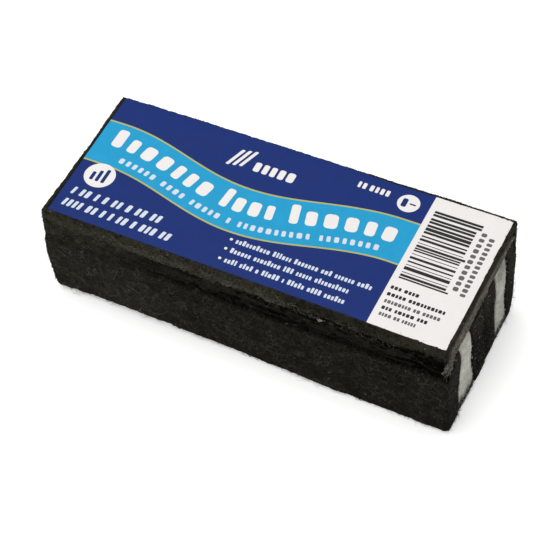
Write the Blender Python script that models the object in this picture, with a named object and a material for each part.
"""Felt block eraser.

Six felt strips stand on edge side by side. A stiff backing pad lies across
their top edges, with its front edge folded down. A thin felt cover goes over
the backing and down both long sides as flaps. Two rows of lockstitch go
through the flaps and all six strips. A paper label is glued on top.

Frame: origin at the centre of the wiping face, +X along the length,
+Y from the front long side to the back, +Z up. Metres.
"""

import math

import bmesh
import bpy
from mathutils import Vector

# ---------------------------------------------------------------- dimensions
LENGTH = 0.1270           # overall
WIDTH = 0.0508            # overall, from the front felt's belly to the back threads
HEIGHT = 0.0333           # overall, wiping face to label
GAP = 0.0003              # clearance between neighbours

LABEL_THICK = 0.00025
LABEL_LENGTH = 0.1254
LABEL_WIDTH = 0.0478
LABEL_CORNER = 0.0006

THREAD_RADIUS = 0.0002
THREAD_SIDES = 6

# Outer faces of the flaps: the felt below stands proud of the front one and
# is drawn in under the back one.
FLAP_FRONT_Y = -0.0237
FLAP_BACK_Y = WIDTH / 2 - GAP - 2 * THREAD_RADIUS
FLAP_THICK = 0.0015
FLAP_BOTTOM_Z = 0.0193
COVER_TOP_THICK = 0.0015
COVER_OUTER_CORNER = 0.0013
COVER_INNER_CORNER = 0.0004

BACKING_LENGTH = 0.1266
BACKING_THICK = 0.0050
FLANGE_THICK = 0.0015     # front edge of the backing, folded down
FLANGE_BOTTOM_Z = 0.0225
BACKING_FRONT_ROUND = 0.0012    # radii of the top edges
BACKING_BACK_ROUND = 0.0034
BACKING_CHAMFER = 0.0006  # back bottom edge

STRIP_LENGTH = 0.1268
STRIP_STEPS = 8           # steps along the length
STRIP_CHAMFER = 0.0006    # bottom edges along the seams
STRIP_COLOURS = ("black", "white", "black", "black", "white", "black")   # from the front

# heights, from the label down
COVER_TOP_Z = HEIGHT - LABEL_THICK - GAP
COVER_UNDER_Z = COVER_TOP_Z - COVER_TOP_THICK
BACKING_TOP_Z = COVER_UNDER_Z - GAP
BACKING_UNDER_Z = BACKING_TOP_Z - BACKING_THICK
STRIP_TOP_Z = BACKING_UNDER_Z - GAP
STRIP_UNDER_FLANGE_Z = FLANGE_BOTTOM_Z - GAP
SHELF_Z = FLAP_BOTTOM_Z - GAP    # ledge of the outer strips, under the flaps

# half widths, measured from the middle of the cover
MID_Y = (FLAP_FRONT_Y + FLAP_BACK_Y) / 2
FLAP_OUT = (FLAP_BACK_Y - FLAP_FRONT_Y) / 2
FLAP_IN = FLAP_OUT - FLAP_THICK
FLANGE_OUT = FLAP_IN - GAP
FLANGE_IN = FLANGE_OUT - FLANGE_THICK
STRIP_BEHIND_FLANGE = FLANGE_IN - GAP
STRIP_BEHIND_FLAP = FLAP_IN - GAP

# outer faces of the front and back strips, below the flaps
OUTER_EDGE_RADIUS = 0.0022
OUTER_EDGE_ANGLES = (0, 30, 60, 90)
OUTER_LEVELS = (0.0055, 0.0085, 0.0125, 0.0160, 0.0183)    # z above the rounded edge
SHELF_DRAW_IN = 0.0009       # at the shelf
BELLY_Z = 0.0085             # where the front is fullest
BELLY_DROP = 0.0007          # how far its curve falls back by the shelf
BACK_DRAW_IN_LEFT = 0.0026   # how far the back is drawn in at its foot, by end
BACK_DRAW_IN_RIGHT = 0.0046
BACK_BULGE = 0.0012          # at half height

# Seams between neighbouring strips, from front to back:
# y at the top, y at the bottom of the right end, size of the wave between.
SEAMS = (
    (-0.0163, -0.0180, 0.0018),
    (-0.0087, -0.0066, 0.0011),
    (0.0001, 0.0015, 0.0005),
    (0.0087, 0.0093, 0.0010),
    (0.0169, 0.0170, 0.0012),
)
SEAM_LEVELS = [STRIP_CHAMFER] + [STRIP_TOP_Z * i / 6 for i in range(1, 7)]
LEAN_LEFT = -0.35         # lean at the left end, as a share of that at the right
WAVE_LEFT = 0.45          # wave at the left end, likewise
WAVE_SHIFT_LEFT = 2.4     # phase shift at the left end, in radians
WAVE_FADE_START = 0.25    # phase of the wave's envelope at the top, in half turns

STITCH_PITCH = 0.0100
STITCH_ROWS = {"upper": (0.0240, 12), "lower": (0.0211, 11)}    # z, stitch count
LOOP_HALF = 0.00065       # half the width of a thread's loop inside the felt
HOLE_RADIUS = 0.00125     # six-sided clearance passage round one stitch, to its corners
TAIL = 0.0025             # thread end left lying on the flap

FELT_SHARP_DEG = 40.0     # edges steeper than this are shaded sharp
THREAD_SHARP_DEG = 80.0


# ------------------------------------------------------------------- helpers
def clear_scene():
    for ob in list(bpy.data.objects):
        bpy.data.objects.remove(ob, do_unlink=True)


def make_material(name, colour, roughness):
    mat = bpy.data.materials.new(name)
    mat.use_nodes = True
    shader = mat.node_tree.nodes["Principled BSDF"]
    shader.inputs["Base Color"].default_value = (*colour, 1.0)
    shader.inputs["Roughness"].default_value = roughness
    shader.inputs["Metallic"].default_value = 0.0
    mat.diffuse_color = (*colour, 1.0)
    return mat


def make_mesh(name, verts, faces):
    """Mesh with its normals facing out."""
    mesh = bpy.data.meshes.new(name)
    mesh.from_pydata([tuple(v) for v in verts], [], faces)
    bm = bmesh.new()
    bm.from_mesh(mesh)
    bmesh.ops.recalc_face_normals(bm, faces=bm.faces)
    bm.to_mesh(mesh)
    bm.free()
    return mesh


def link_object(name, data, parent=None):
    ob = bpy.data.objects.new(name, data)
    ob.parent = parent
    bpy.context.scene.collection.objects.link(ob)
    return ob


def add_piece(name, verts, faces, mat, parent, sharp_deg=FELT_SHARP_DEG):
    mesh = make_mesh(name, verts, faces)
    mesh.validate()
    mesh.shade_smooth()
    mesh.set_sharp_from_angle(angle=math.radians(sharp_deg))
    mesh.materials.append(mat)
    return link_object(name, mesh, parent)


def arc(centre_a, centre_b, radius, start, end, steps):
    """steps + 1 points on an arc in a plane, angles in degrees."""
    angles = [math.radians(start + (end - start) * i / steps) for i in range(steps + 1)]
    return [(centre_a + radius * math.cos(angle), centre_b + radius * math.sin(angle))
            for angle in angles]


def skin(rings, split=None):
    """Closed skin over a row of equal rings, capped at both ends.

    split(j, quad), if given, cuts the quad at side j of the ring into triangles.
    """
    size = len(rings[0])
    verts = [point for ring in rings for point in ring]
    total = len(verts)
    faces = [tuple(range(size)), tuple(range(total - 1, total - size - 1, -1))]
    for start in range(0, total - size, size):
        for j in range(size):
            this, following = start + j, start + (j + 1) % size
            quad = (this, this + size, following + size, following)
            faces += split(j, quad) if split else [quad]
    return verts, faces


def extrude_profile(profile, length):
    """A closed (y, z) profile drawn out along X, centred on the origin."""
    return skin([[(x, y, z) for y, z in profile] for x in (-length / 2, length / 2)])


# -------------------------------------------------------------- felt strips
def along(x):
    """0 at the left end of the block, 1 at the right."""
    return 0.5 + x / LENGTH


def seam_y(seam, x, z):
    """Y of a seam, numbered 0..4 from the front, at length x and height z."""
    top, bottom, wave_size = SEAMS[seam]
    depth = (STRIP_TOP_Z - z) / STRIP_TOP_Z      # 0 at the top, 1 at the bottom
    end = along(x)
    lean = LEAN_LEFT + (1 - LEAN_LEFT) * end * end * (3 - 2 * end)
    shift = WAVE_SHIFT_LEFT * (1 - end) * (1 if seam % 2 else -1)
    swing = math.sin(2 * math.pi * depth + shift) * (WAVE_LEFT + (1 - WAVE_LEFT) * end)
    envelope = math.sin(math.pi * min(1.0, WAVE_FADE_START + depth))
    return top + (bottom - top) * lean * depth + wave_size * swing * envelope


def belly_y(z):
    """Front of the felt below the front flap."""
    rise = (z - BELLY_Z) / (SHELF_Z - BELLY_Z)
    return -WIDTH / 2 + BELLY_DROP * rise * rise


def back_y(x, z):
    """Back of the felt below the back flap, drawn in towards its foot."""
    draw_in = BACK_DRAW_IN_LEFT + (BACK_DRAW_IN_RIGHT - BACK_DRAW_IN_LEFT) * along(x)
    depth = 1 - z / SHELF_Z
    return FLAP_BACK_Y - draw_in * depth + BACK_BULGE * math.sin(math.pi * depth)


def outer_side(face, out):
    """Points (y, z) from the foot up to the shelf under a flap; face(z) gives
    the felt's outer face and out is the sign of the outward Y direction."""
    radius = OUTER_EDGE_RADIUS
    points = []
    for angle in map(math.radians, OUTER_EDGE_ANGLES):
        points.append((face(radius) - out * (radius - radius * math.sin(angle)),
                       radius - radius * math.cos(angle)))
    points += [(face(z), z) for z in OUTER_LEVELS]
    points += [(face(SHELF_Z) - out * SHELF_DRAW_IN, SHELF_Z),
               (MID_Y + out * STRIP_BEHIND_FLAP, SHELF_Z)]
    return points


def front_side():
    """Front flank of the front strip, stepped in behind the flap and the flange."""
    return outer_side(belly_y, -1) + [
        (MID_Y - STRIP_BEHIND_FLAP, STRIP_UNDER_FLANGE_Z),
        (MID_Y - STRIP_BEHIND_FLANGE, STRIP_UNDER_FLANGE_Z),
        (MID_Y - STRIP_BEHIND_FLANGE, STRIP_TOP_Z),
    ]


def back_side(x):
    """Back flank of the back strip, stepped in behind the flap."""
    return outer_side(lambda z: back_y(x, z), 1) + [(MID_Y + STRIP_BEHIND_FLAP, STRIP_TOP_Z)]


def seam_side(seam, x, side):
    """One flank of a strip along a seam; side -1 is its front face, +1 its back."""
    points = [(seam_y(seam, x, 0.0) - side * (GAP / 2 + STRIP_CHAMFER), 0.0)]
    points += [(seam_y(seam, x, z) - side * GAP / 2, z) for z in SEAM_LEVELS]
    return points


def make_strip(index, name, mat, parent):
    """index 0..5 from the front."""
    rings = []
    for i in range(STRIP_STEPS + 1):
        x = -STRIP_LENGTH / 2 + STRIP_LENGTH * i / STRIP_STEPS
        front = front_side() if index == 0 else seam_side(index - 1, x, -1)
        back = back_side(x) if index == len(SEAMS) else seam_side(index, x, +1)
        rings.append([(x, y, z) for y, z in front + back[::-1]])
    front_sides, last_side = len(front) - 1, len(rings[0]) - 1

    def split(j, quad):
        """The two flanks are cut along opposite diagonals."""
        a, b, c, d = quad
        if j < front_sides or j == last_side:    # front flank, or underside
            return [(a, b, c), (a, c, d)]
        return [(a, b, d), (b, c, d)]            # top, or back flank

    return add_piece(name, *skin(rings, split), mat, parent)


# ------------------------------------------------------------------ stitching
def sweep(path, radius):
    """A closed tube of constant section with mitred corners along the path."""
    points = [Vector(p) for p in path]
    dirs = [(b - a).normalized() for a, b in zip(points, points[1:])]
    across = dirs[0].cross(Vector((0, 0, 1))).normalized()
    upright = dirs[0].cross(across).normalized()
    turns = [2 * math.pi * i / THREAD_SIDES for i in range(THREAD_SIDES)]
    rings = [[points[0] + radius * (math.cos(turn) * across + math.sin(turn) * upright)
              for turn in turns]]
    # Each ring is the one before, slid along its segment to the mitre plane.
    for point, before, after in zip(points[1:], dirs, dirs[1:] + dirs[-1:]):
        normal = (before + after).normalized()
        rings.append([p + before * ((point - p).dot(normal) / before.dot(normal))
                      for p in rings[-1]])
    return skin(rings)


def stitch_xs(count):
    return [STITCH_PITCH * (i - (count - 1) / 2) for i in range(count)]


def thread_path(z, count, y, loop_end_y, half_x, half_z):
    """Lies on a flap at y and loops into the felt as far as loop_end_y."""
    xs = stitch_xs(count)
    path = [(xs[0] - TAIL, y, z)]
    for x in xs:
        path += [(x - half_x, y, z + half_z), (x - half_x, loop_end_y, z + half_z),
                 (x + half_x, loop_end_y, z - half_z), (x + half_x, y, z - half_z)]
    path.append((xs[-1] + TAIL, y, z))
    return path


def make_threads(row, z, count, mat, parent):
    """The needle thread lies on the front flap and makes flat loops; the bobbin
    thread lies on the back flap and its upright loops pass through them."""
    off_flap = GAP + THREAD_RADIUS
    paths = {
        "needle": thread_path(z, count, y=FLAP_FRONT_Y - off_flap, loop_end_y=LOOP_HALF,
                              half_x=LOOP_HALF, half_z=0.0),
        "bobbin": thread_path(z, count, y=FLAP_BACK_Y + off_flap, loop_end_y=-LOOP_HALF,
                              half_x=0.0, half_z=LOOP_HALF),
    }
    for kind, path in paths.items():
        add_piece(f"{row}_seam_{kind}_thread", *sweep(path, THREAD_RADIUS), mat, parent,
                  sharp_deg=THREAD_SHARP_DEG)


def make_stitch_cutter(row, z, count, parent):
    """Six-sided passages right across the block, flats up and down."""
    verts, faces = [], []
    for x in stitch_xs(count):
        hexagon = arc(x, z, HOLE_RADIUS, 0, 300, 5)
        passage, sides = skin([[(px, y, pz) for px, pz in hexagon] for y in (-WIDTH, WIDTH)])
        faces += [tuple(len(verts) + i for i in face) for face in sides]
        verts += passage
    name = f"{row}_row_cutter"
    ob = link_object(name, make_mesh(name, verts, faces), parent)
    ob.hide_render = True
    ob.display_type = "WIRE"
    return ob


def pierce(ob, cutters):
    for cutter in cutters:
        mod = ob.modifiers.new("stitch_holes", "BOOLEAN")
        mod.operation = "DIFFERENCE"
        mod.solver = "EXACT"
        mod.object = cutter


# --------------------------------------------------- label, cover and backing
def make_label(mat, parent):
    corner_x = LABEL_LENGTH / 2 - LABEL_CORNER
    corner_y = LABEL_WIDTH / 2 - LABEL_CORNER
    outline = []
    for side_x, side_y, start in ((1, 1, 0), (-1, 1, 90), (-1, -1, 180), (1, -1, 270)):
        outline += arc(side_x * corner_x, MID_Y + side_y * corner_y, LABEL_CORNER,
                       start, start + 90, 3)
    rings = [[(x, y, z) for x, y in outline] for z in (HEIGHT - LABEL_THICK, HEIGHT)]
    return add_piece("top_label", *skin(rings), mat, parent)


def make_cover(mat, parent):
    outer, inner = COVER_OUTER_CORNER, COVER_INNER_CORNER
    outside = [(FLAP_OUT, FLAP_BOTTOM_Z)]
    outside += arc(FLAP_OUT - outer, COVER_TOP_Z - outer, outer, 0, 90, 4)
    inside = arc(FLAP_IN - inner, COVER_UNDER_Z - inner, inner, 90, 0, 2)
    inside += [(FLAP_IN, FLAP_BOTTOM_Z)]
    # The back half, mirrored to the front between its outside and inside.
    profile = outside + [(-y, z) for y, z in outside[::-1] + inside[::-1]] + inside
    profile = [(MID_Y + y, z) for y, z in profile]
    return add_piece("felt_cover", *extrude_profile(profile, LENGTH), mat, parent)


def make_backing(mat, parent):
    front, back = BACKING_FRONT_ROUND, BACKING_BACK_ROUND
    profile = [(-FLANGE_OUT, FLANGE_BOTTOM_Z)]
    profile += arc(-FLANGE_OUT + front, BACKING_TOP_Z - front, front, 180, 90, 4)
    profile += arc(FLANGE_OUT - back, BACKING_TOP_Z - back, back, 90, 0, 6)
    profile += [(FLANGE_OUT, BACKING_UNDER_Z + BACKING_CHAMFER),
                (FLANGE_OUT - BACKING_CHAMFER, BACKING_UNDER_Z),
                (-FLANGE_IN, BACKING_UNDER_Z),
                (-FLANGE_IN, FLANGE_BOTTOM_Z)]
    profile = [(MID_Y + y, z) for y, z in profile]
    return add_piece("backing_pad", *extrude_profile(profile, BACKING_LENGTH), mat, parent)


def main():
    clear_scene()
    felts = {
        "black": make_material("felt_black", colour=(0.018, 0.018, 0.016), roughness=0.95),
        "white": make_material("felt_white", colour=(0.72, 0.71, 0.66), roughness=0.95),
    }
    grey = make_material("backing_grey", colour=(0.145, 0.130, 0.105), roughness=0.95)
    paper = make_material("label_paper", colour=(0.020, 0.034, 0.180), roughness=0.35)
    cotton = make_material("thread_black", colour=(0.030, 0.030, 0.028), roughness=0.8)

    root = link_object("eraser", None)
    root.empty_display_size = 0.02

    upper, lower = [make_stitch_cutter(row, z, count, root)
                    for row, (z, count) in STITCH_ROWS.items()]

    make_label(paper, root)
    pierce(make_cover(felts["black"], root), (upper, lower))
    pierce(make_backing(grey, root), (upper,))    # the lower row passes below it
    for i, colour in enumerate(STRIP_COLOURS):
        strip = make_strip(i, f"felt_strip_{i + 1}_{colour}", felts[colour], root)
        pierce(strip, (upper, lower))

    for row, (z, count) in STITCH_ROWS.items():
        make_threads(row, z, count, cotton, root)


main()
